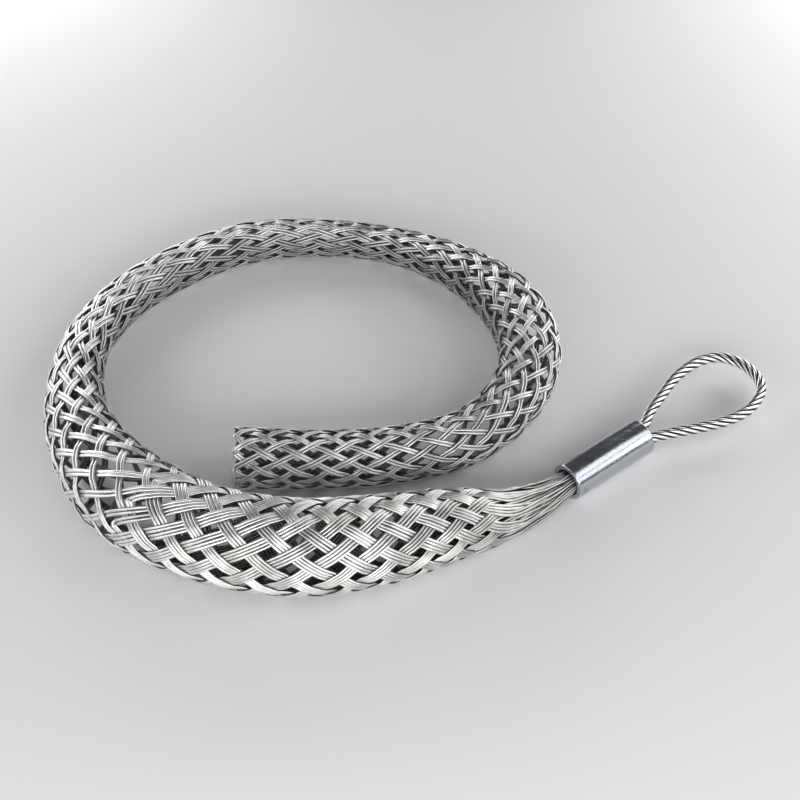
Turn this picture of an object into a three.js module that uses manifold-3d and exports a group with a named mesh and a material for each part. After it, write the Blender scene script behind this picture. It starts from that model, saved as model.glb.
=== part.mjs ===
// Cable pulling grip: a long sock of woven steel wire, a pressed ferrule and a wire rope eye.
// It lies on a floor in one loose loop. Millimetres, +Z up, floor at z = 0.
import * as THREE from "three";
import { mergeVertices } from "three/addons/utils/BufferGeometryUtils.js";
import Module from "manifold-3d";

const wasm = await Module();
wasm.setup();

// Sleeve: the woven tube
const bandsEachWay = 10; // bands that wind one way, and as many the other way
const tailCrossingSpacing = 10.4; // along a band of two wires, from one crossing to the next
const headCrossingSpacing = 11.5; // and along a band of four wires
const headStartPoint = 14.5; // of the route, where the extra wires begin to join in
const headFullPoint = 16.5; // and where all the bands have them
const wireDiameter = 1.3;
const sleeveWall = 2 * wireDiameter; // two bands lie over each other at a crossing
const cellFloor = 0.9; // wall left at the middle of a cell, inside the ridges
const gapShare = 0.56; // of a cell, from its middle to its corners, where it is open
const gapStepRound = 5; // one cell in so many round the sleeve is open
const gapStepAlong = 2; // and one row in so many along it
const closedRowsAtNeck = 8;
const restFlat = 0.6; // how much its weight flattens it on the floor

// Stretch of floor under the grip, for the flats on its underside
const floorReach = 1000;
const floorDepth = 20;

// Ferrule
const ferruleDiameter = 20.8;
const ferruleBore = 15;
const ferruleLength = 56;
const ferruleChamfer = 0.8;
const boreChamfer = 0.5;
const ferruleRearX = 89.4;
const ferruleRearY = -78.5;
const ferruleAngle = THREE.MathUtils.degToRad(40.5); // from +X towards +Y
const ferruleSides = 48;
const fitGap = 0.3; // between pieces that touch
const neckDepth = 27; // how far the sleeve runs into the ferrule

// Rope of the eye
const ropeDiameter = 6.2;
const ropeStrands = 6;
const ropeLay = 36; // length of one full turn of a strand
const strandGroove = 0.65; // depth of the valley between two strands
const legDepth = 24; // how far each leg runs into the ferrule
const eyeLength = 87.5; // from the ferrule to the middle of the rope at the tip
const eyeWidth = 47; // between the middles of the rope
const ropeStep = 2.6;

// Route of the sleeve from its open mouth to its shoulder: place and outer diameter
const sleeveRoute = [
  [-88, -66, 35],
  [-45, -66, 33],
  [0, -61.5, 32.5],
  [39, -46, 32.5],
  [66, -12, 34.5],
  [73.5, 26, 37.5],
  [62, 66, 37],
  [35, 103, 29.5],
  [-3, 128, 24],
  [-50, 136.5, 24],
  [-94, 129, 26.5],
  [-133, 105, 27],
  [-163, 72, 27.5],
  [-180, 30, 29],
  [-180, -18, 34.5],
  [-168, -61, 43.5],
  [-141, -105, 53],
  [-100, -131, 52],
  [-55, -141.5, 52],
  [-12, -135, 48.5],
  [25, -119.5, 40],
  [53, -107, 29.5],
  [74, -92, 21.5],
];

// Outline of the eye: share of its length, and share of half its width to the left of the axis
const eyeOutline = [
  [0.09, 0.23],
  [0.2, 0.44],
  [0.35, 0.66],
  [0.61, 0.96],
  [0.81, 0.98],
  [0.94, 0.76],
  [0.998, 0.28],
  [0.985, -0.24],
  [0.92, -0.66],
  [0.82, -0.88],
  [0.69, -1.0],
  [0.52, -0.93],
  [0.34, -0.68],
  [0.19, -0.42],
  [0.06, -0.22],
];

const up = new THREE.Vector3(0, 0, 1);
const axisHeight = ferruleDiameter / 2;
const axisDirection = new THREE.Vector3(Math.cos(ferruleAngle), Math.sin(ferruleAngle), 0);
const axisLeft = new THREE.Vector3().crossVectors(up, axisDirection);
const ferruleRear = new THREE.Vector3(ferruleRearX, ferruleRearY, axisHeight);
const neckDiameter = ferruleBore - 2 * fitGap;

// A place beside the ferrule's axis: how far past its front end, and how far to the left
function besideAxis(along, left) {
  const place = ferruleRear.clone().addScaledVector(axisDirection, ferruleLength + along);
  return place.addScaledVector(axisLeft, left);
}

// The route as one smooth curve, with the outer diameter in the third number
function routeCurve() {
  const neckStart = ferruleRear;
  const neckEnd = ferruleRear.clone().addScaledVector(axisDirection, neckDepth);
  const points = sleeveRoute.map((p) => new THREE.Vector3(...p));
  points.push(new THREE.Vector3(neckStart.x, neckStart.y, neckDiameter));
  points.push(new THREE.Vector3(neckEnd.x, neckEnd.y, neckDiameter));
  return new THREE.CatmullRomCurve3(points, false, "catmullrom", 0.5);
}

// Stations close together along the route: middle, outer radius and length from the mouth
function routeStations(count) {
  const curve = routeCurve();
  const stations = [];
  let length = 0;
  for (let i = 0; i <= count; i += 1) {
    const point = curve.getPoint(i / count);
    const routePoint = (i / count) * (curve.points.length - 1);
    const head = THREE.MathUtils.smoothstep(routePoint, headStartPoint, headFullPoint);
    const spacing = THREE.MathUtils.lerp(tailCrossingSpacing, headCrossingSpacing, head);
    const diameter = Math.max(point.z, neckDiameter);
    const height = Math.max(diameter / 2 - restFlat, axisHeight);
    const middle = new THREE.Vector3(point.x, point.y, height);
    if (i > 0) {
      length += middle.distanceTo(stations[i - 1].middle);
    }
    stations.push({ middle, radius: diameter / 2, length, spacing });
  }
  return stations;
}

const stations = routeStations(3000);
const sleeveLength = stations[stations.length - 1].length;

// The frame of the sleeve at a length from the mouth
function sleeveFrame(length) {
  let i = 1;
  while (i < stations.length - 1 && stations[i].length < length) {
    i += 1;
  }
  const a = stations[i - 1];
  const b = stations[i];
  const share = (length - a.length) / (b.length - a.length);
  const middle = a.middle.clone().lerp(b.middle, share);
  const along = b.middle.clone().sub(a.middle).normalize();
  const side = new THREE.Vector3().crossVectors(up, along).normalize();
  const lift = new THREE.Vector3().crossVectors(along, side);
  const radius = THREE.MathUtils.lerp(a.radius, b.radius, share);
  return { middle, side, lift, radius, spacing: b.spacing };
}

// Rows of crossings: a band keeps its length between crossings, so a wide row is a short step
function rowLengths() {
  const lengths = [0];
  while (lengths[lengths.length - 1] < sleeveLength) {
    const last = lengths[lengths.length - 1];
    const frame = sleeveFrame(last);
    const round = (Math.PI * (2 * frame.radius - sleeveWall)) / (2 * bandsEachWay);
    lengths.push(last + Math.sqrt(frame.spacing ** 2 - round ** 2));
  }
  const stretch = sleeveLength / lengths[lengths.length - 1];
  return lengths.map((length) => length * stretch);
}

// Collects triangles of one closed body and hands them on as a geometry
class Shell {
  constructor() {
    this.points = [];
    this.faces = [];
  }
  point(vector) {
    this.points.push(vector.x, vector.y, vector.z);
    return this.points.length / 3 - 1;
  }
  at(index) {
    return new THREE.Vector3().fromArray(this.points, 3 * index);
  }
  triangle(a, b, c) {
    this.faces.push(a, b, c);
  }
  quad(a, b, c, d) {
    this.triangle(a, b, c);
    this.triangle(a, c, d);
  }
  geometry() {
    const geometry = new THREE.BufferGeometry();
    geometry.setAttribute("position", new THREE.Float32BufferAttribute(this.points, 3));
    geometry.setIndex(this.faces);
    return geometry;
  }
}

// A point of the sleeve: angle 0 is its underside
function sleevePoint(frame, angle, radius) {
  const place = frame.middle.clone();
  place.addScaledVector(frame.side, radius * Math.sin(angle));
  return place.addScaledVector(frame.lift, -radius * Math.cos(angle));
}

// Angle of a crossing: odd rows stand half a step round
function crossingAngle(row, index) {
  return ((2 * Math.PI) / bandsEachWay) * (index + (row % 2) / 2);
}

function isOpenCell(row, index, rowCount) {
  if (row % gapStepAlong !== 0 || row > rowCount - closedRowsAtNeck) {
    return false;
  }
  return (index + row) % gapStepRound === 0;
}

// The woven tube: ridges run along both sets of bands, and the cells between them are dips or gaps
function sleeveShell() {
  const shell = new Shell();
  const lengths = rowLengths();
  const frames = lengths.map((length) => sleeveFrame(length));
  const outer = [];
  const inner = [];
  frames.forEach((frame, row) => {
    const angles = Array.from({ length: bandsEachWay }, (_, index) => crossingAngle(row, index));
    const innerRadius = frame.radius - sleeveWall;
    outer.push(angles.map((angle) => shell.point(sleevePoint(frame, angle, frame.radius))));
    inner.push(angles.map((angle) => shell.point(sleevePoint(frame, angle, innerRadius))));
  });
  const last = lengths.length - 1;
  for (let row = 1; row < last; row += 1) {
    for (let index = 0; index < bandsEachWay; index += 1) {
      addCell(shell, frames, outer, inner, row, index);
    }
  }
  addRim(shell, outer, inner, 0, 1, false);
  addRim(shell, outer, inner, last, last - 1, true);
  return shell.geometry();
}

// The four corners of a cell: towards the mouth, right, towards the ferrule, left
function cellCorners(rows, row, index) {
  const next = (index + 1) % bandsEachWay;
  const between = row % 2 === 0 ? index : next;
  return [rows[row - 1][between], rows[row][next], rows[row + 1][between], rows[row][index]];
}

function addCell(shell, frames, outer, inner, row, index) {
  const frame = frames[row];
  const angle = crossingAngle(row, index) + Math.PI / bandsEachWay;
  const chord = Math.cos(Math.PI / bandsEachWay);
  const floorRadius = (frame.radius - sleeveWall) * chord;
  const outerMiddle = sleevePoint(frame, angle, floorRadius + cellFloor);
  const innerMiddle = sleevePoint(frame, angle, floorRadius);
  const outerCorners = cellCorners(outer, row, index);
  const innerCorners = cellCorners(inner, row, index);
  if (!isOpenCell(row, index, frames.length)) {
    const middle = shell.point(outerMiddle);
    for (let i = 0; i < 4; i += 1) {
      shell.triangle(middle, outerCorners[i], outerCorners[(i + 1) % 4]);
    }
    shell.triangle(innerCorners[0], innerCorners[3], innerCorners[1]);
    shell.triangle(innerCorners[1], innerCorners[3], innerCorners[2]);
    return;
  }
  const outerHole = outerCorners.map((c) => shell.point(outerMiddle.clone().lerp(shell.at(c), gapShare)));
  const innerHole = innerCorners.map((c) => shell.point(innerMiddle.clone().lerp(shell.at(c), gapShare)));
  for (let i = 0; i < 4; i += 1) {
    const j = (i + 1) % 4;
    shell.quad(outerCorners[i], outerCorners[j], outerHole[j], outerHole[i]);
    shell.quad(outerHole[i], outerHole[j], innerHole[j], innerHole[i]);
    shell.quad(innerCorners[j], innerCorners[i], innerHole[i], innerHole[j]);
  }
}

// The edge at an end of the sleeve runs in points, from band to band
function addRim(shell, outer, inner, endRow, nextRow, flip) {
  for (let index = 0; index < bandsEachWay; index += 1) {
    const next = (index + 1) % bandsEachWay;
    const between = endRow % 2 === 0 ? index : next;
    const path = [
      [endRow, index],
      [nextRow, between],
      [endRow, next],
    ];
    for (let i = 0; i < 2; i += 1) {
      const [a, b] = flip ? [path[i + 1], path[i]] : [path[i], path[i + 1]];
      shell.quad(inner[a[0]][a[1]], inner[b[0]][b[1]], outer[b[0]][b[1]], outer[a[0]][a[1]]);
    }
  }
}

function toSolid(geometry) {
  const bare = geometry.clone();
  bare.deleteAttribute("normal");
  bare.deleteAttribute("uv");
  const merged = mergeVertices(bare, 1e-4);
  const vertProperties = new Float32Array(merged.attributes.position.array);
  const triVerts = new Uint32Array(merged.index.array);
  return new wasm.Manifold(new wasm.Mesh({ numProp: 3, vertProperties, triVerts }));
}

function fromSolid(solid) {
  const mesh = solid.getMesh();
  const geometry = new THREE.BufferGeometry();
  geometry.setAttribute("position", new THREE.Float32BufferAttribute(mesh.vertProperties, 3));
  geometry.setIndex(Array.from(mesh.triVerts));
  return geometry;
}

// Takes off what would lie under the floor, which leaves small flats on the underside
function flattenOnFloor(geometry) {
  const slab = new THREE.BoxGeometry(floorReach, floorReach, floorDepth);
  slab.translate(0, 0, -floorDepth / 2);
  return fromSolid(toSolid(geometry).subtract(toSolid(slab)));
}

function ferruleGeometry() {
  const outer = ferruleDiameter / 2;
  const bore = ferruleBore / 2;
  const profile = [
    [bore, boreChamfer],
    [bore + boreChamfer, 0],
    [outer - ferruleChamfer, 0],
    [outer, ferruleChamfer],
    [outer, ferruleLength - ferruleChamfer],
    [outer - ferruleChamfer, ferruleLength],
    [bore + boreChamfer, ferruleLength],
    [bore, ferruleLength - boreChamfer],
    [bore, boreChamfer],
  ];
  const points = profile.map((p) => new THREE.Vector2(...p));
  return new THREE.LatheGeometry(points, ferruleSides);
}

// The rope's middle: in at one leg, round the eye and back along the other leg
function ropeCurve() {
  const legOffset = ferruleBore / 2 - fitGap - ropeDiameter / 2;
  const points = [besideAxis(-legDepth, legOffset), besideAxis(-legDepth / 2, legOffset)];
  points.push(besideAxis(0, legOffset));
  eyeOutline.forEach(([along, left]) => {
    points.push(besideAxis(along * eyeLength, (left * eyeWidth) / 2));
  });
  points.push(besideAxis(0, -legOffset), besideAxis(-legDepth / 2, -legOffset));
  points.push(besideAxis(-legDepth, -legOffset));
  return new THREE.CatmullRomCurve3(points, false, "centripetal");
}

// A six lobed section that turns as it runs along the rope
function ropeShell() {
  const shell = new Shell();
  const curve = ropeCurve();
  const length = curve.getLength();
  const steps = Math.round(length / ropeStep);
  const sides = 2 * ropeStrands;
  const rings = [];
  for (let step = 0; step <= steps; step += 1) {
    const middle = curve.getPointAt(step / steps);
    const along = curve.getTangentAt(step / steps);
    const side = new THREE.Vector3().crossVectors(up, along).normalize();
    const lift = new THREE.Vector3().crossVectors(along, side);
    const turn = (2 * Math.PI * length * step) / (steps * ropeLay);
    const ring = [];
    for (let i = 0; i < sides; i += 1) {
      const angle = turn + (2 * Math.PI * i) / sides;
      const radius = ropeDiameter / 2 - (i % 2) * strandGroove;
      const place = middle.clone().addScaledVector(side, radius * Math.cos(angle));
      ring.push(shell.point(place.addScaledVector(lift, radius * Math.sin(angle))));
    }
    rings.push(ring);
  }
  for (let step = 0; step < steps; step += 1) {
    for (let i = 0; i < sides; i += 1) {
      const j = (i + 1) % sides;
      shell.quad(rings[step][i], rings[step][j], rings[step + 1][j], rings[step + 1][i]);
    }
  }
  closeEnd(shell, rings[0], curve.getPointAt(0), true);
  closeEnd(shell, rings[steps], curve.getPointAt(1), false);
  return shell.geometry();
}

function closeEnd(shell, ring, middle, flip) {
  const centre = shell.point(middle);
  ring.forEach((point, i) => {
    const next = ring[(i + 1) % ring.length];
    shell.triangle(centre, flip ? next : point, flip ? point : next);
  });
}

function namedMesh(name, geometry, color, roughness) {
  const bare = geometry.clone();
  bare.deleteAttribute("normal");
  bare.computeVertexNormals();
  const material = new THREE.MeshStandardMaterial({ color, roughness, metalness: 1 });
  const mesh = new THREE.Mesh(bare, material);
  mesh.name = name;
  return mesh;
}

const sleeve = namedMesh("mesh_sleeve", flattenOnFloor(sleeveShell()), 0xb9b8b4, 0.38);
const eyeRope = namedMesh("eye_rope", ropeShell(), 0xbcbcbb, 0.35);
const ferrule = namedMesh("ferrule", ferruleGeometry(), 0x9ea3a8, 0.22);
ferrule.position.copy(ferruleRear);
ferrule.quaternion.setFromUnitVectors(new THREE.Vector3(0, 1, 0), axisDirection);

// The origin is under the middle of the whole grip, on the floor
const grip = new THREE.Group();
grip.add(sleeve, ferrule, eyeRope);
const bounds = new THREE.Box3().setFromObject(grip, true);
const centre = bounds.getCenter(new THREE.Vector3());
grip.position.set(-centre.x, -centre.y, -bounds.min.z);

const group = new THREE.Group();
group.add(grip);
export default group;
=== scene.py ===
# Cable pulling grip lying in a loose loop: woven wires, pressed ferrule, wire rope eye.
import math
import bpy
import numpy as np
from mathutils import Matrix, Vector


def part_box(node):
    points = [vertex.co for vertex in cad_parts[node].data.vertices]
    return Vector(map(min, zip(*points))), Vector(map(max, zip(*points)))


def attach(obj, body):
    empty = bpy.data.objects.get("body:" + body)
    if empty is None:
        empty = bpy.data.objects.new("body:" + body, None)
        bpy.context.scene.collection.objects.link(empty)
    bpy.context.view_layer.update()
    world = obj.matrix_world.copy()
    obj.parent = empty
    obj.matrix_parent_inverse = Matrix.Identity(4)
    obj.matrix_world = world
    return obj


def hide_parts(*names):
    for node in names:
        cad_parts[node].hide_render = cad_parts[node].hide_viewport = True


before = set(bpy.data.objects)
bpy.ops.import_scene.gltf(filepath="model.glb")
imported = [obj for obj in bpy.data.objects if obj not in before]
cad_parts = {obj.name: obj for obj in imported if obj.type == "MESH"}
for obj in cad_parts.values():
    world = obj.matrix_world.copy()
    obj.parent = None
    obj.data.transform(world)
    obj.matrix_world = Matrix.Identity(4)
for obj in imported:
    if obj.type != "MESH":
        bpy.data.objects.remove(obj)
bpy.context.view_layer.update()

random = np.random.default_rng(7)
mm = 0.001
upAxis = np.array([0.0, 0.0, 1.0])

# Sizes are in mm, as the grip is made, and the meshes are put into metres at the end
ferrule = {
    "diameter": 20.8,
    "bore": 15.0,
    "length": 56.0,
    "rearX": 89.4,
    "rearY": -78.5,
    "angle": 40.5,
    "chamfer": 0.8,
    "boreChamfer": 0.5,
    "sides": 180,
}

sleeve = {
    "bandsEachWay": 10,
    "crossingSpacings": [
        (6.5, 10.4), (8.5, 11.885), (10.5, 13.1), (14.0, 13.1), (16.2, 12.4), (17.4, 12.4), (18.8, 11.4),
    ],
    "wireDiameter": 1.3,
    "restFlat": 0.6,
    "fitGap": 0.3,
    "neckDepth": 27.0,
    "curveStations": 3001,
}

# Route of the sleeve from the open mouth to the shoulder: x, y and outer diameter
sleeveRoute = [
    (-88, -66, 35), (-45, -66, 33), (0, -61.5, 32.5), (39, -46, 32.5), (66, -12, 34.5),
    (73.5, 26, 37.5), (62, 66, 37), (35, 103, 29.5), (-3, 128, 24), (-50, 136.5, 24),
    (-94, 129, 26.5), (-133, 105, 27), (-163, 72, 27.5), (-180, 30, 29), (-180, -18, 34.5),
    (-168, -61, 43.5), (-141, -105, 53), (-100, -131, 52), (-55, -141.5, 52),
    (-12, -135, 48.5), (25, -119.5, 40), (53, -107, 29.5), (74, -92, 21.5),
]


# Each vector over its own length
def unit(vectors):
    return vectors / np.linalg.norm(vectors, axis=-1, keepdims=True)


# Eases from 0 to 1: three times the square less twice the cube
def smoothStep(x):
    x = np.clip(x, 0, 1)
    return x * x * (3 - 2 * x)


axisAngle = math.radians(ferrule["angle"])
axisDirection = np.array([math.cos(axisAngle), math.sin(axisAngle), 0.0])
axisLeft = np.array([-math.sin(axisAngle), math.cos(axisAngle), 0.0])
axisHeight = ferrule["diameter"] / 2
ferruleRear = np.array([ferrule["rearX"], ferrule["rearY"], axisHeight])
ferruleMiddle = ferruleRear + axisDirection * ferrule["length"] / 2

# The ferrule's place in the frame says how far the whole drawing is shifted
ferruleLow, ferruleHigh = (np.array(corner, float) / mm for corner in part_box("ferrule"))
shift = (ferruleLow + ferruleHigh) / 2 - ferruleMiddle
shift[2] = 0.0


# A cubic between two points, from their places, their slopes and the share of the way
def cubicBetween(b, c, slopeB, slopeC, w):
    square, cube = w * w, w * w * w
    start = (2 * cube - 3 * square + 1) * b + (cube - 2 * square + w) * slopeB
    return start + (3 * square - 2 * cube) * c + (cube - square) * slopeC


# Four points round each station of a curve that runs on straight past its ends
def neighbours(points, count):
    ends = np.vstack([2 * points[0] - points[1], points, 2 * points[-1] - points[-2]])
    along = np.linspace(0, len(points) - 1, count)
    cell = np.minimum(along.astype(int), len(points) - 2)
    return ends, cell, (along - cell)[:, None]


# The slope at a point is half the step from the point before it to the point after it
def uniformCurve(points, count):
    ends, cell, w = neighbours(points, count)
    a, b, c, d = (ends[cell + k] for k in range(4))
    return cubicBetween(b, c, (c - a) / 2, (d - b) / 2, w)


# As above, with the slopes weighed by the root of the distance between the points
def centripetalCurve(points, count):
    ends, cell, w = neighbours(points, count)
    a, b, c, d = (ends[cell + k] for k in range(4))
    step = np.sqrt(np.linalg.norm(np.diff(ends, axis=0), axis=1))
    p, q, r = (step[cell + k][:, None] for k in range(3))
    slopeB = ((b - a) / p - (c - a) / (p + q) + (c - b) / q) * q
    slopeC = ((c - b) / q - (d - b) / (q + r) + (d - c) / r) * q
    return cubicBetween(b, c, slopeB, slopeC, w)


# The run to each point is the sum of the steps before it
def lengthAlong(line):
    steps = np.linalg.norm(np.diff(line, axis=0), axis=1)
    return np.concatenate([[0], np.cumsum(steps)])


# Each column of the values, read in a straight line between the known places
def readAt(where, known, values):
    return np.stack([np.interp(where, known, values[:, k]) for k in range(values.shape[1])], -1)


# Mesh of tubes: rings of points, each joined to the next by squares, and both ends closed.
# The UV map holds the run along the tube in mm and the share of a turn round it.
def tubesPiece(name, tubes):
    places, quads, uvs, caps = [], [], [], []
    first = 0
    for rings in tubes:
        count, sides = rings.shape[:2]
        ring = np.arange(count - 1)[:, None] * sides
        side = np.arange(sides)[None]
        after = (side + 1) % sides
        corners = [ring + side, ring + after, ring + sides + after, ring + sides + side]
        quads.append(first + np.stack(corners, -1).reshape(-1, 4))
        run = lengthAlong(rings.mean(1))
        low, left = np.broadcast_arrays(run[:-1, None], side / sides)
        high, right = np.broadcast_arrays(run[1:, None], (side + 1) / sides)
        square = [(low, left), (low, right), (high, right), (high, left)]
        uvs.append(np.stack([np.stack(corner, -1) for corner in square], -2).reshape(-1, 2))
        caps.append(first + np.arange(sides - 1, -1, -1))
        caps.append(first + (count - 1) * sides + np.arange(sides))
        places.append(rings.reshape(-1, 3))
        first += count * sides
    return meshPiece(name, np.vstack(places), np.vstack(quads), np.vstack(uvs), caps)


# A mesh from its points in mm, its squares and any closing faces, put into the frame in metres
def meshPiece(name, places, quads, uv, caps=()):
    mesh = bpy.data.meshes.new(name)
    mesh.vertices.add(len(places))
    mesh.vertices.foreach_set("co", ((places + shift) * mm).astype(np.float32).ravel())
    corners = np.concatenate([quads.ravel(), *caps]).astype(np.int32)
    sizes = np.concatenate([np.full(len(quads), 4), [len(cap) for cap in caps]]).astype(np.int32)
    starts = np.concatenate([[0], np.cumsum(sizes)[:-1]]).astype(np.int32)
    mesh.loops.add(len(corners))
    mesh.loops.foreach_set("vertex_index", corners)
    mesh.polygons.add(len(sizes))
    mesh.polygons.foreach_set("loop_start", starts)
    mesh.polygons.foreach_set("loop_total", sizes)
    mesh.polygons.foreach_set("use_smooth", np.arange(len(sizes)) < len(quads))
    layer = mesh.uv_layers.new(name="UVMap")
    values = np.zeros((len(corners), 2), np.float32)
    values[: len(uv)] = uv
    layer.data.foreach_set("uv", values.ravel())
    mesh.update(calc_edges=True)
    mesh.validate()
    piece = bpy.data.objects.new(name, mesh)
    bpy.context.scene.collection.objects.link(piece)
    return piece


# Each piece rides on the root body, stands for its node and fills its material's slot
def placePiece(piece, node, material):
    piece.data.materials.append(material)
    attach(piece, "root")
    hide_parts(node)


# Camera: it looks along +Y and down at the middle of the drawing
cameraView = {
    "elevation": 41.5,
    "distance": 1200.0,
    "focalPixels": 2120.0,
    "imagePixels": 800.0,
    "sensorWidth": 36.0,
    "clipStart": 0.05,
    "clipEnd": 20.0,
}


def addCamera():
    elevation = math.radians(cameraView["elevation"])
    data = bpy.data.cameras.new("camera")
    data.sensor_width = cameraView["sensorWidth"]
    data.lens = cameraView["focalPixels"] / cameraView["imagePixels"] * data.sensor_width
    data.clip_start = cameraView["clipStart"]
    data.clip_end = cameraView["clipEnd"]
    camera = bpy.data.objects.new("camera", data)
    bpy.context.scene.collection.objects.link(camera)
    away = np.array([0, -math.cos(elevation), math.sin(elevation)]) * cameraView["distance"]
    camera.location = (away + shift) * mm
    camera.rotation_euler = (math.pi / 2 - elevation, 0, 0)
    bpy.context.scene.camera = camera


floorLook = {"reach": 6.0, "colour": (0.74, 0.74, 0.74), "roughness": 0.9}


def addFloor():
    reach = floorLook["reach"]
    corners = [(-reach, -reach, 0), (reach, -reach, 0), (reach, reach, 0), (-reach, reach, 0)]
    mesh = bpy.data.meshes.new("floor")
    mesh.from_pydata(corners, [], [(0, 1, 2, 3)])
    material = bpy.data.materials.new("floorPaper")
    material.use_nodes = True
    shader = material.node_tree.nodes["Principled BSDF"]
    shader.inputs["Base Color"].default_value = (*floorLook["colour"], 1)
    shader.inputs["Roughness"].default_value = floorLook["roughness"]
    mesh.materials.append(material)
    floor = bpy.data.objects.new("floor", mesh)
    bpy.context.scene.collection.objects.link(floor)


# Each light: place, aim, width and height in metres, brightness of its face
lights = {
    "frontBox": ((0.05, -0.82, 0.36), (0.0, -0.1, 0.02), (1.7, 0.36), 5.0),
    "backLeftBox": ((-0.48, 0.58, 0.24), (-0.48, 0.0, 0.02), (0.66, 0.28), 4.2),
    "backRightBox": ((0.43, 0.6, 0.24), (0.4, 0.0, 0.02), (0.4, 0.28), 4.2),
    "leftBox": ((-0.66, 0.0, 0.22), (-0.15, 0.02, 0.02), (0.7, 0.24), 2.6),
    "rightBox": ((0.64, 0.2, 0.2), (0.15, 0.02, 0.02), (0.7, 0.24), 3.0),
    "rightLowBox": ((1.53, -0.25, 0.64), (0.12, -0.05, 0.0), (1.1, 0.52), 1.8),
    "rightHighBox": ((1.14, -0.2, 1.17), (0.12, -0.05, 0.0), (1.1, 0.58), 1.8),
}
studioGrey = 0.07


def addLights():
    for name, (place, aim, (width, height), brightness) in lights.items():
        data = bpy.data.lights.new(name, "AREA")
        data.shape = "RECTANGLE"
        data.size, data.size_y = width, height
        data.energy = brightness * math.pi * width * height
        light = bpy.data.objects.new(name, data)
        bpy.context.scene.collection.objects.link(light)
        light.location = place
        light.rotation_euler = (Vector(aim) - Vector(place)).to_track_quat("-Z", "Y").to_euler()
    world = bpy.data.worlds.new("studio")
    world.use_nodes = True
    background = world.node_tree.nodes["Background"]
    background.inputs["Color"].default_value = (studioGrey, studioGrey, studioGrey, 1)
    background.inputs["Strength"].default_value = 1.0
    bpy.context.scene.world = world


addCamera()
addFloor()
addLights()
bpy.context.scene.view_settings.view_transform = "Standard"
print("camera, floor and lights are set")


# The middle of a noise's range, where nearly all of its values lie
noiseRange = (0.3, 0.7)


# Small helpers for the materials' nodes
class NodeBench:
    def __init__(self, name):
        self.material = bpy.data.materials.new(name)
        self.material.use_nodes = True
        self.tree = self.material.node_tree
        self.shader = self.tree.nodes["Principled BSDF"]

    def join(self, source, target):
        if isinstance(source, (int, float, tuple)):
            target.default_value = source
        else:
            self.tree.links.new(source, target)

    def maths(self, operation, first, second=0.0):
        node = self.tree.nodes.new("ShaderNodeMath")
        node.operation = operation
        self.join(first, node.inputs[0])
        self.join(second, node.inputs[1])
        return node.outputs[0]

    def spread(self, value, fromRange, toRange=(0.0, 1.0)):
        node = self.tree.nodes.new("ShaderNodeMapRange")
        self.join(value, node.inputs["Value"])
        node.inputs["From Min"].default_value, node.inputs["From Max"].default_value = fromRange
        node.inputs["To Min"].default_value, node.inputs["To Max"].default_value = toRange
        return node.outputs["Result"]

    def noise(self, scale, detail=3.0, stretch=(1, 1, 1), turn=0.0):
        place = self.tree.nodes.new("ShaderNodeTexCoord").outputs["Object"]
        mapping = self.tree.nodes.new("ShaderNodeMapping")
        mapping.inputs["Scale"].default_value = stretch
        mapping.inputs["Rotation"].default_value = (0, 0, turn)
        self.tree.links.new(place, mapping.inputs["Vector"])
        node = self.tree.nodes.new("ShaderNodeTexNoise")
        node.inputs["Scale"].default_value = scale
        node.inputs["Detail"].default_value = detail
        self.tree.links.new(mapping.outputs["Vector"], node.inputs["Vector"])
        return node.outputs["Fac"]

    def patches(self, scale, fromRange, share, detail=3.0):
        return self.spread(self.noise(scale, detail), fromRange, (0.0, share))

    def metal(self, colour, grain, roughness):
        self.join(colour, self.shader.inputs["Base Color"])
        self.shader.inputs["Metallic"].default_value = 1.0
        self.join(self.spread(grain, noiseRange, roughness), self.shader.inputs["Roughness"])

    def attribute(self, name):
        node = self.tree.nodes.new("ShaderNodeAttribute")
        node.attribute_name = name
        return node.outputs["Fac"]

    def distanceTo(self, point):
        node = self.tree.nodes.new("ShaderNodeVectorMath")
        node.operation = "DISTANCE"
        place = self.tree.nodes.new("ShaderNodeTexCoord").outputs["Object"]
        self.tree.links.new(place, node.inputs[0])
        node.inputs[1].default_value = point
        return node.outputs["Value"]

    def blend(self, share, first, second):
        node = self.tree.nodes.new("ShaderNodeMix")
        node.data_type = "RGBA"
        self.join(share, node.inputs[0])
        self.join(first, node.inputs[6])
        self.join(second, node.inputs[7])
        return node.outputs[2]

    def uv(self):
        node = self.tree.nodes.new("ShaderNodeUVMap")
        node.uv_map = "UVMap"
        parts = self.tree.nodes.new("ShaderNodeSeparateXYZ")
        self.tree.links.new(node.outputs["UV"], parts.inputs[0])
        return parts.outputs[0], parts.outputs[1]

    def bump(self, height, strength, distance):
        node = self.tree.nodes.new("ShaderNodeBump")
        node.inputs["Strength"].default_value = strength
        node.inputs["Distance"].default_value = distance
        self.tree.links.new(height, node.inputs["Height"])
        self.tree.links.new(node.outputs["Normal"], self.shader.inputs["Normal"])


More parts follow.
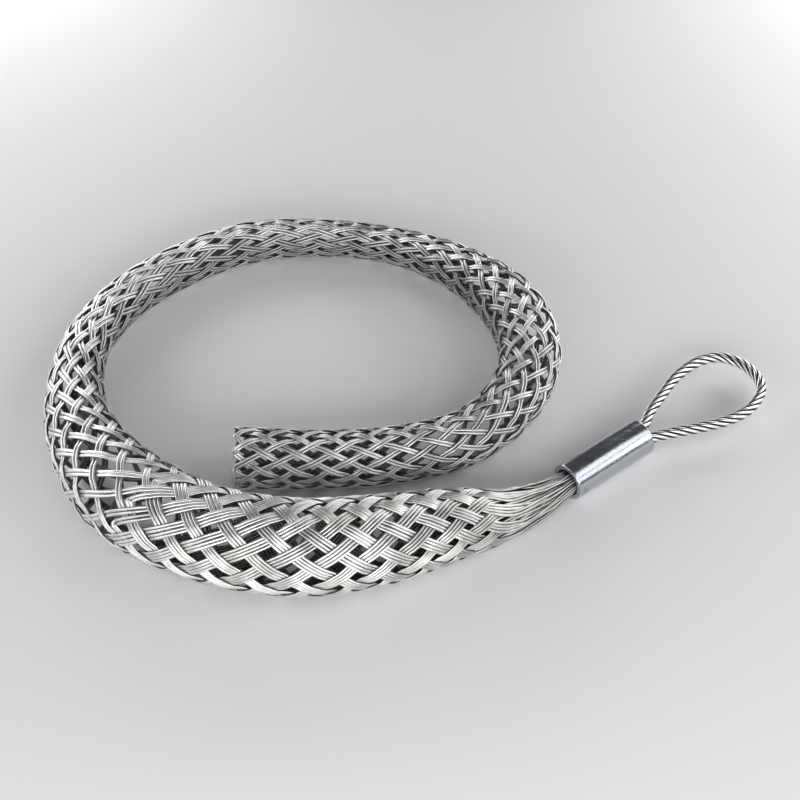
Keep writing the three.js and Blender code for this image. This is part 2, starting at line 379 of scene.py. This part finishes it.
# Wire of the mesh: fine strands wind round each wire. Painted shade: each wire's flanks are painted near
# black as the dark lines between wires, and its inner side dark grey; wires that face into the loop, and
# those of the neck, are painted darker. The ranges are of a sine or a cosine, but neckRange is in metres
# from the ferrule. Blotch and patch are a noise's scale, range and share.
wireLook = {
    "bright": (0.95, 0.94, 0.925, 1),
    "worn": (0.5, 0.49, 0.475, 1),
    "shade": (0.34, 0.335, 0.325, 1),
    "flankShade": (0.02, 0.02, 0.02, 1),
    "inner": (0.17, 0.165, 0.16, 1),
    "loopInsideShade": (0.13, 0.135, 0.13, 1),
    "blotch": (170.0, (0.4, 0.7), 0.6),
    "patch": (45.0, (0.5, 0.68), 0.6),
    "flankRange": (-0.45, 0.05),
    "innerRange": (0.25, 0.6),
    "neckRange": (0.024, 0.12),
    "neckShadeShare": 0.6,
    "loopInsideShadeRange": (0.45, 0.97),
    "loopInsideShadeShare": 0.7,
    "strands": 6,
    "lay": 5.6,
    "strandShare": 0.15,
    "grainScale": 420.0,
    "roughness": (0.29, 0.46),
    "bumpStrength": 0.3,
    "bumpDistance": 0.0001,
}


# Stripes of the wound strands: a sine of the share of a lay run through plus the share of a turn
def strandStripes(bench, strands, lay):
    run, turn = bench.uv()
    wound = bench.maths("ADD", bench.maths("DIVIDE", run, lay), turn)
    return bench.maths("SINE", bench.maths("MULTIPLY", wound, 2 * math.pi * strands)), turn


def wireMaterial():
    bench = NodeBench("meshWire")
    wave, turn = strandStripes(bench, wireLook["strands"], wireLook["lay"])
    facing = bench.maths("COSINE", bench.maths("MULTIPLY", turn, 2 * math.pi))
    dotted = bench.maths("ADD", facing, bench.maths("MULTIPLY", wave, wireLook["strandShare"]))
    # Painted shade: each wire's flanks, edged by the strand stripes, are painted near black as the dark
    # lines between wires
    flank = bench.spread(dotted, wireLook["flankRange"])
    blotched = bench.blend(bench.patches(*wireLook["blotch"]), wireLook["bright"], wireLook["worn"])
    outer = bench.blend(bench.patches(*wireLook["patch"]), blotched, wireLook["shade"])
    # Painted shade: wires grow darker towards the ferrule's rear end, where the gathered neck lies in shade
    fromNeck = bench.distanceTo((ferruleRear + shift) * mm)
    neckShade = bench.spread(fromNeck, wireLook["neckRange"], (wireLook["neckShadeShare"], 0.0))
    outer = bench.blend(neckShade, outer, wireLook["shade"])
    # Painted shade: wires on the side of the sleeve that faces into the loop are painted darker, as the
    # shade inside the loop
    inward = bench.attribute("inward")
    inward = bench.spread(inward, wireLook["loopInsideShadeRange"], (0.0, wireLook["loopInsideShadeShare"]))
    outer = bench.blend(inward, outer, wireLook["loopInsideShade"])
    # Painted shade: the inward-facing half of each wire is painted dark grey, so the far wall seen through
    # the gaps looks dark
    inner = bench.spread(facing, wireLook["innerRange"])
    behind = bench.blend(inner, wireLook["flankShade"], wireLook["inner"])
    grain = bench.noise(wireLook["grainScale"])
    bench.metal(bench.blend(flank, outer, behind), grain, wireLook["roughness"])
    bench.bump(wave, wireLook["bumpStrength"], wireLook["bumpDistance"])
    return bench.material


# The sleeve's middle line, radius and direction, close together along the route
neckDiameter = ferrule["bore"] - 2 * sleeve["fitGap"]
neckEnd = ferruleRear + axisDirection * sleeve["neckDepth"]
routePoints = np.array(
    sleeveRoute + [(*ferruleRear[:2], neckDiameter), (*neckEnd[:2], neckDiameter)], float
)
routeCurve = uniformCurve(routePoints, sleeve["curveStations"])
routeRadius = np.maximum(routeCurve[:, 2], neckDiameter) / 2
routeHeight = np.maximum(routeRadius - sleeve["restFlat"], axisHeight)
routeMiddle = np.column_stack([routeCurve[:, :2], routeHeight])
routeLength = lengthAlong(routeMiddle)
routeAlong = unit(np.gradient(routeMiddle, axis=0))
routePoint = np.linspace(0, len(routePoints) - 1, len(routeCurve))


# Rows of crossings: a band keeps its length between crossings, so a wide row is a short step
def rowLengths():
    spacing = np.interp(routePoint, *np.transpose(sleeve["crossingSpacings"]))
    lengths = [0.0]
    while lengths[-1] < routeLength[-1]:
        radius = np.interp(lengths[-1], routeLength, routeRadius)
        across = math.pi * (radius - sleeve["wireDiameter"]) / sleeve["bandsEachWay"]
        between = np.interp(lengths[-1], routeLength, spacing)
        lengths.append(lengths[-1] + math.sqrt(between**2 - across**2))
    return np.array(lengths) * routeLength[-1] / lengths[-1]


# The row at a point of the route, read by its length
def rowAtPoint(point):
    length = np.interp(point, routePoint, routeLength)
    return float(np.interp(length, rows, np.arange(len(rows))))


# The weave: which wires lie where. "two" is a wire's place across a band of two wires, "four"
# across a band of four, and "bunch" its place across and outwards where the bands are gathered.
# The bands are wider at the back and on the left: shares at points of the route.
# A change to four wires or to straight ones starts its lead before its row and lasts its rows.
# Each drift is a pace and a size, and driftWaves holds the pace and share of each of its sines.
weave = {
    "stationsPerRow": 6,
    "wireSides": 8,
    "wireWidth": 1.6,
    "neckWidth": 1.2,
    "wireHeight": 1.26,
    "insideShare": 0.985,
    "foldRound": 0.42,
    "transitionPoint": 16.4,
    "fourLead": 1.2,
    "fourRows": 1.4,
    "unweavePoint": 21.0,
    "straightLead": 1.5,
    "straightRows": 2.0,
    "gatherFrom": 31.0,
    "gatherTo": 19.0,
    "armDepth": 2.0,
    "drift": (1.0, 0.16),
    "looseness": (2.0, 0.8),
    "wander": (1.5, 0.06),
    "neckWander": (3.0, 0.4),
    "driftWaves": [(0.35, 0.7), (0.9, 0.4)],
    "crestSharpness": 2.2,
    "bandWidening": [(4.0, 1.0), (8.0, 1.06), (10.5, 1.12), (12.5, 1.3), (15.8, 1.3), (17.0, 1.0)],
    "longWires": [
        {"two": -0.82, "four": -2.5, "bunch": (-0.7, 0.0)},
        {"two": 0.82, "four": -0.83, "bunch": (0.7, 0.0)},
    ],
    "shortWires": [
        {"two": 0.83, "four": 0.83, "bunch": (-0.7, -1.3)},
        {"two": 2.5, "four": 2.5, "bunch": (0.7, -1.3)},
    ],
}

# How far the inner side of the bend runs ahead in a row, as a slope, at points of the route
rowSlope = [(14.0, 0.0), (16.0, 0.36), (17.4, 0.36), (19.0, 0.08), (20.0, 0.0)]

rows = rowLengths()
lastRow = len(rows) - 1
transitionRow = 2 * round(rowAtPoint(weave["transitionPoint"]) / 2)
unweaveRow = math.floor(rowAtPoint(weave["unweavePoint"])) + 0.5
print("rows of crossings:", lastRow, "bands of four from row", transitionRow, "straight from", unweaveRow)


# A band's middle line. v runs from the far end of one arm, through the fold, to the end of the
# other arm. The row is the length of v, rounded at the fold. The angle grows steadily with v,
# until the bands stop crossing and run straight into the ferrule. Where the sleeve bends, the
# row's length is shifted by its slope times the radius times the sine of the angle.
def bandFrame(v, foldRow, foldAngle):
    row = foldRow + np.sqrt(v * v + weave["foldRound"] ** 2) - weave["foldRound"]
    straight = unweaveRow - 1.0 - foldRow
    past = np.maximum(np.abs(v) - straight, 0)
    turned = np.sign(v) * (np.minimum(np.abs(v), straight) + 1 - np.exp(-past))
    angle = foldAngle + math.pi * turned / sleeve["bandsEachWay"]
    length = np.interp(row, np.arange(len(rows)), rows)
    slope = np.interp(np.interp(length, routeLength, routePoint), *np.transpose(rowSlope))
    length = length + slope * np.interp(length, routeLength, routeRadius) * np.sin(angle)
    middle = readAt(length, routeLength, routeMiddle)
    along = unit(readAt(length, routeLength, routeAlong))
    radius = np.interp(length, routeLength, routeRadius)
    side = unit(np.cross(upAxis, along))
    lift = np.cross(along, side)
    outward = np.sin(angle)[:, None] * side - np.cos(angle)[:, None] * lift
    return middle, outward, along, radius, row, np.sin(angle)


# Bands pass over and under each other: a flattened cosine with its crest at each even row on
# one arm and at each odd row on the other, joined by a sine through the fold
def weaveWave(v):
    wave = np.where(np.abs(v) < 0.5, 0.5 * np.sin(2 * np.pi * v), np.sign(v) * np.cos(np.pi * v))
    return np.tanh(weave["crestSharpness"] * wave) / np.tanh(weave["crestSharpness"])


# Sum of slow sines, each with a random start of its own
def slowDrift(v, pace, size):
    starts = random.uniform(0, 6, len(weave["driftWaves"]))
    waves = [
        share * np.sin(slow * pace * v + start) for (slow, share), start in zip(weave["driftWaves"], starts)
    ]
    return size * np.sum(waves, axis=0)


# The wires of a band. Each lies at its place across the band, plus slow drifts, and is raised and
# lowered by the weave's wave. It is lowered again by the square of its place over twice the radius,
# so that the band bends round the sleeve, and it never goes below the floor.
def bandWires(foldRow, foldAngle, wires):
    reach = lastRow - foldRow
    v = np.linspace(-reach, reach, 2 * reach * weave["stationsPerRow"] + 1)
    middle, outward, along, radius, row, inward = bandFrame(v, foldRow, foldAngle)
    wire = sleeve["wireDiameter"]
    core = radius * weave["insideShare"] - wire
    base = middle + outward * core[:, None]
    across = np.cross(outward, unit(np.gradient(base, axis=0)))
    bend = np.abs(np.sum(across * np.cross(along, outward), axis=1))
    layer = np.where(v > 0, 1.0, -1.0)
    straight = smoothStep((row - unweaveRow + weave["straightLead"]) / weave["straightRows"])
    narrowed = (weave["gatherFrom"] - 2 * radius) / (weave["gatherFrom"] - weave["gatherTo"])
    gather = straight * smoothStep(narrowed)
    wave = 0.5 * wire * (weaveWave(v) * (1 - straight) + layer * straight * (1 - gather))
    sunk = gather * np.where(v > 0, 0.0, weave["armDepth"] * wire)
    four = smoothStep((row - transitionRow + weave["fourLead"]) / weave["fourRows"])
    point = np.interp(np.interp(row, np.arange(len(rows)), rows), routeLength, routePoint)
    widening = np.interp(point, *np.transpose(weave["bandWidening"]))
    drift = slowDrift(v, *weave["drift"])
    loose = slowDrift(v, *weave["looseness"]) * straight
    lines = []
    for place in wires:
        flat = (place["two"] * (1 - four) + place["four"] * four) * widening
        sideways = flat * (1 - gather) + place["bunch"][0] * gather + drift + loose
        sideways = sideways + slowDrift(v, *weave["wander"]) + slowDrift(v, *weave["neckWander"]) * gather
        lifted = wave + gather * (place["bunch"][1] + 0.5 * wire) - sunk
        lifted = lifted - np.abs(slowDrift(v, *weave["looseness"])) * straight
        lifted = lifted - (sideways * bend) ** 2 / (2 * core)
        line = base + across * sideways[:, None] + outward * lifted[:, None]
        line[:, 2] = np.maximum(line[:, 2], wire / 2)
        lines.append(line)
    width = weave["wireWidth"] * (1 - gather) + weave["neckWidth"] * gather
    return lines, outward, width * widening, inward


# Rings of a wire: an ellipse square to the line. The first point of each ring faces inwards.
def wireRings(line, outward, width, height, sides):
    along = unit(np.gradient(line, axis=0))
    across = unit(np.cross(outward, along))
    lift = np.cross(along, across)
    turn = (np.arange(sides) / sides * 2 * math.pi - math.pi / 2)[None, :, None]
    half = np.reshape(width, (-1, 1, 1)) / 2
    ring = half * np.cos(turn) * across[:, None] + height / 2 * np.sin(turn) * lift[:, None]
    return line[:, None] + ring


# The sine of each ring's angle round the sleeve says how far it faces into the loop; the wire material
# paints shade by it
def markInward(piece, inward, wires):
    values = np.tile(np.repeat(inward, weave["wireSides"]), wires)
    layer = piece.data.attributes.new("inward", "FLOAT", "POINT")
    layer.data.foreach_set("value", values.astype(np.float32))


def weaveSleeve(material):
    section = (weave["wireHeight"], weave["wireSides"])
    for index in range(sleeve["bandsEachWay"]):
        angle = 2 * math.pi * index / sleeve["bandsEachWay"]
        for kind, foldRow, wires in (
            ("long", 0, weave["longWires"]),
            ("short", transitionRow, weave["shortWires"]),
        ):
            lines, outward, width, inward = bandWires(foldRow, angle, wires)
            tubes = [wireRings(line, outward, width, *section) for line in lines]
            piece = tubesPiece(f"mesh_wires_{kind}_{index + 1:02d}", tubes)
            markInward(piece, inward, len(tubes))
            placePiece(piece, "mesh_sleeve", material)


weaveSleeve(wireMaterial())
print("the sleeve is woven")


# Rope of the eye: six strands wound right-handed round a core
rope = {
    "diameter": 6.2,
    "strands": 6,
    "lay": 36.0,
    "legDepth": 24.0,
    "eyeLength": 87.5,
    "eyeWidth": 47.0,
    "wiresInStrand": 10,
    "wireLay": 14.0,
    "wireGroove": 0.05,
    "grooveSharpness": 1.5,
    "ease": 0.06,
    "pointsPerWire": 4,
    "step": 0.75,
    "coreDiameter": 2.2,
    "coreSides": 12,
    "strandsAcross": 3,
    "curveStations": 4001,
}

# Outline of the eye: share of its length, and share of half its width to the left of the axis
eyeOutline = [
    (0.09, 0.23), (0.2, 0.44), (0.35, 0.66), (0.61, 0.96), (0.81, 0.98), (0.94, 0.76),
    (0.998, 0.28), (0.985, -0.24), (0.92, -0.66), (0.82, -0.88), (0.69, -1.0), (0.52, -0.93),
    (0.34, -0.68), (0.19, -0.42), (0.06, -0.22),
]


# A point along the ferrule's axis from its front end, and to the left of it
def besideAxis(along, left):
    return ferruleRear + axisDirection * (ferrule["length"] + along) + axisLeft * left


# The rope's middle line runs up one leg, round the outline and down the other, in equal steps
def ropeMiddle():
    legOffset = ferrule["bore"] / 2 - sleeve["fitGap"] - rope["diameter"] / 2
    depth = rope["legDepth"]
    points = [besideAxis(-depth, legOffset), besideAxis(-depth / 2, legOffset), besideAxis(0, legOffset)]
    points += [besideAxis(a * rope["eyeLength"], b * rope["eyeWidth"] / 2) for a, b in eyeOutline]
    points += [besideAxis(0, -legOffset), besideAxis(-depth / 2, -legOffset), besideAxis(-depth, -legOffset)]
    line = centripetalCurve(np.array(points), rope["curveStations"])
    length = lengthAlong(line)
    where = np.linspace(0, length[-1], int(length[-1] / rope["step"]))
    return readAt(where, length, line), where


# A strand's middle winds round the rope's middle. Its section is a circle with one shallow lobe
# for each wire, and the lobes wind the other way round the strand, so the wires lie along the rope.
def strandRings(index, middle, where):
    along = unit(np.gradient(middle, axis=0))
    side = unit(np.cross(upAxis, along))
    lift = np.cross(along, side)
    turn = 2 * math.pi * (where / rope["lay"] + index / rope["strands"])
    outward = np.cos(turn)[:, None] * side + np.sin(turn)[:, None] * lift
    strandRadius = rope["diameter"] / rope["strandsAcross"] / 2
    line = middle + outward * (rope["diameter"] / 2 - strandRadius - rope["ease"])
    sides = rope["wiresInStrand"] * rope["pointsPerWire"]
    around = np.arange(sides) / sides * 2 * math.pi - math.pi / 2
    wound = around[None] + 2 * math.pi * (where / rope["wireLay"])[:, None]
    lobe = np.abs(np.sin(wound * rope["wiresInStrand"] / 2))
    radius = strandRadius - rope["wireGroove"] * (1 - lobe) ** rope["grooveSharpness"]
    lineAlong = unit(np.gradient(line, axis=0))
    across = unit(np.cross(outward, lineAlong))
    up = np.cross(lineAlong, across)
    ring = np.cos(around)[None, :, None] * across[:, None] + np.sin(around)[None, :, None] * up[:, None]
    return line[:, None] + radius[:, :, None] * ring


# Wire of the rope: each strand's outer side is bright, and its flanks, in the grooves between strands, are
# painted near black as shade
ropeLook = {
    "bright": (0.98, 0.98, 0.975, 1),
    "worn": (0.8, 0.79, 0.78, 1),
    "flankShade": (0.03, 0.03, 0.03, 1),
    "blotch": (220.0, (0.4, 0.7), 0.4),
    "flankRange": (-0.93, -0.5),
    "grainScale": 500.0,
    "roughness": (0.24, 0.4),
}


def ropeMaterial():
    bench = NodeBench("ropeWire")
    turn = bench.uv()[1]
    facing = bench.maths("COSINE", bench.maths("MULTIPLY", turn, 2 * math.pi))
    # Painted shade: each strand is painted near black except near its outermost line, giving dark grooves
    # between strands
    flank = bench.spread(facing, ropeLook["flankRange"])
    outer = bench.blend(bench.patches(*ropeLook["blotch"]), ropeLook["bright"], ropeLook["worn"])
    grain = bench.noise(ropeLook["grainScale"])
    bench.metal(bench.blend(flank, outer, ropeLook["flankShade"]), grain, ropeLook["roughness"])
    return bench.material


def layRope(material):
    middle, where = ropeMiddle()
    for index in range(rope["strands"]):
        piece = tubesPiece(f"eye_rope_strand_{index + 1}", [strandRings(index, middle, where)])
        placePiece(piece, "eye_rope", material)
    outward = np.tile(upAxis, (len(middle), 1))
    coreSection = (rope["coreDiameter"], rope["coreDiameter"], rope["coreSides"])
    core = tubesPiece("eye_rope_core", [wireRings(middle, outward, *coreSection)])
    placePiece(core, "eye_rope", material)


layRope(ropeMaterial())
print("the rope is laid")


# A rounded corner: a quadratic curve from one edge to the other, begun at its size from the corner
def roundedCorner(corner, before, after, size, count=6):
    corner, before, after = (np.array(p, float) for p in (corner, before, after))
    start = corner + size * unit(before - corner)
    end = corner + size * unit(after - corner)
    share = np.linspace(0, 1, count)[:, None]
    return (1 - share) ** 2 * start + 2 * share * (1 - share) * corner + share**2 * end


# The ferrule's section: the radius and the place along the axis of each point of its wall
def ferruleProfile():
    outer, bore, length = ferrule["diameter"] / 2, ferrule["bore"] / 2, ferrule["length"]
    corners = [(bore, 0), (outer, 0), (outer, length), (bore, length)]
    sizes = [ferrule["boreChamfer"], ferrule["chamfer"], ferrule["chamfer"], ferrule["boreChamfer"]]
    rounded = [
        roundedCorner(corners[k], corners[k - 1], corners[(k + 1) % 4], sizes[k]) for k in range(4)
    ]
    return np.vstack(rounded)


# The section is turned round the axis: the cosine goes to the left of it, the sine upwards
def turnFerrule(material):
    profile = ferruleProfile()
    sides, count = ferrule["sides"], len(profile)
    turn = np.arange(sides) / sides * 2 * math.pi
    outward = np.cos(turn)[:, None] * axisLeft + np.sin(turn)[:, None] * upAxis
    places = ferruleRear + profile[None, :, 1:] * axisDirection + profile[None, :, :1] * outward[:, None]
    ring = np.arange(sides)[:, None] * count
    nextRing = (np.arange(sides)[:, None] + 1) % sides * count
    here, after = np.arange(count)[None], (np.arange(count)[None] + 1) % count
    quads = np.stack([ring + here, ring + after, nextRing + after, nextRing + here], -1).reshape(-1, 4)
    uv = np.zeros((quads.size, 2))
    piece = meshPiece("ferrule_body", places.reshape(-1, 3), quads, uv)
    placePiece(piece, "ferrule", material)


# Ferrule metal: polished steel with a fine grain along its axis and faint brown stains
ferruleLook = {
    "steel": (0.54, 0.56, 0.6, 1),
    "stain": (0.27, 0.21, 0.15, 1),
    "stains": (130.0, (0.6, 0.7), 0.45, 5.0),
    "grainScale": 900.0,
    "grainDetail": 4.0,
    "grainStretch": (0.04, 1, 1),
    "roughness": (0.15, 0.29),
    "bumpStrength": 0.12,
    "bumpDistance": 0.0001,
}


def ferruleMaterial():
    bench = NodeBench("ferruleMetal")
    grainTexture = (ferruleLook["grainScale"], ferruleLook["grainDetail"], ferruleLook["grainStretch"])
    grain = bench.noise(*grainTexture, -axisAngle)
    stains = bench.patches(*ferruleLook["stains"])
    colour = bench.blend(stains, ferruleLook["steel"], ferruleLook["stain"])
    bench.metal(colour, grain, ferruleLook["roughness"])
    bench.bump(grain, ferruleLook["bumpStrength"], ferruleLook["bumpDistance"])
    return bench.material


turnFerrule(ferruleMaterial())
print("the ferrule is turned")
